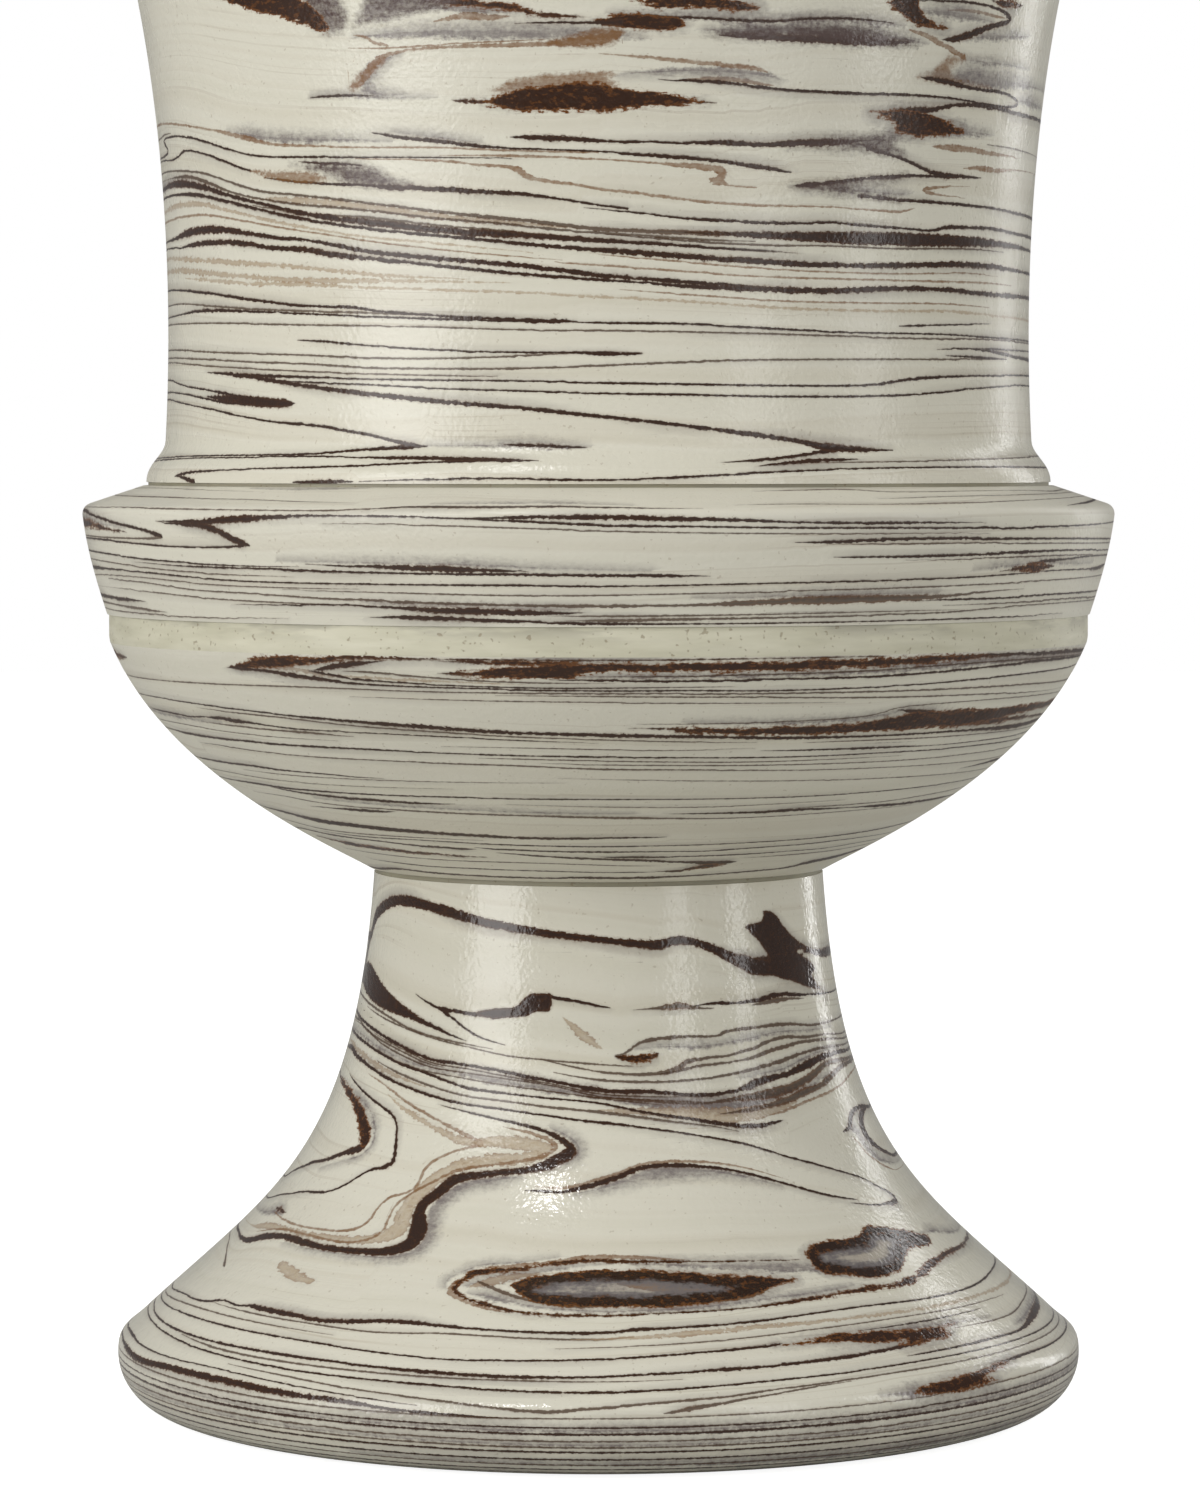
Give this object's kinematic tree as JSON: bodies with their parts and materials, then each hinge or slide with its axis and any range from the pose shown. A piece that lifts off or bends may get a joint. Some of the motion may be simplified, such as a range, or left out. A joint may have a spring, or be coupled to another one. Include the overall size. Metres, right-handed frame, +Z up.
{
  "type": "pedestal vase",
  "caption": "Large campana-shaped pedestal vase: hollow trumpet foot with rolled base edge, round bowl with sharp shoulder, and tall flared neck with rolled lip.",
  "frame": {"origin": "centre of the base, on the surface that the vase stands on", "axes": "+Z up, along the vase's axis of rotation, from the resting ring to the lip; X and Y are equal, because every section is round"},
  "size_m": [0.232, 0.232, 0.35],
  "materials": {
    "marbled_clay": "clear glaze over marbled clay, satin gloss, slightly uneven",
    "joint_slip": "plain slip under a thin glaze, more matt than the clay"
  },
  "bodies": {
    "root": {"pedestal_foot": "marbled_clay", "foot_joint_slip": "joint_slip", "lower_bowl": "marbled_clay", "bowl_seam_slip": "joint_slip", "shoulder_ring": "marbled_clay", "neck_joint_slip": "joint_slip", "flared_neck": "marbled_clay"}
  },
  "joints": []
}
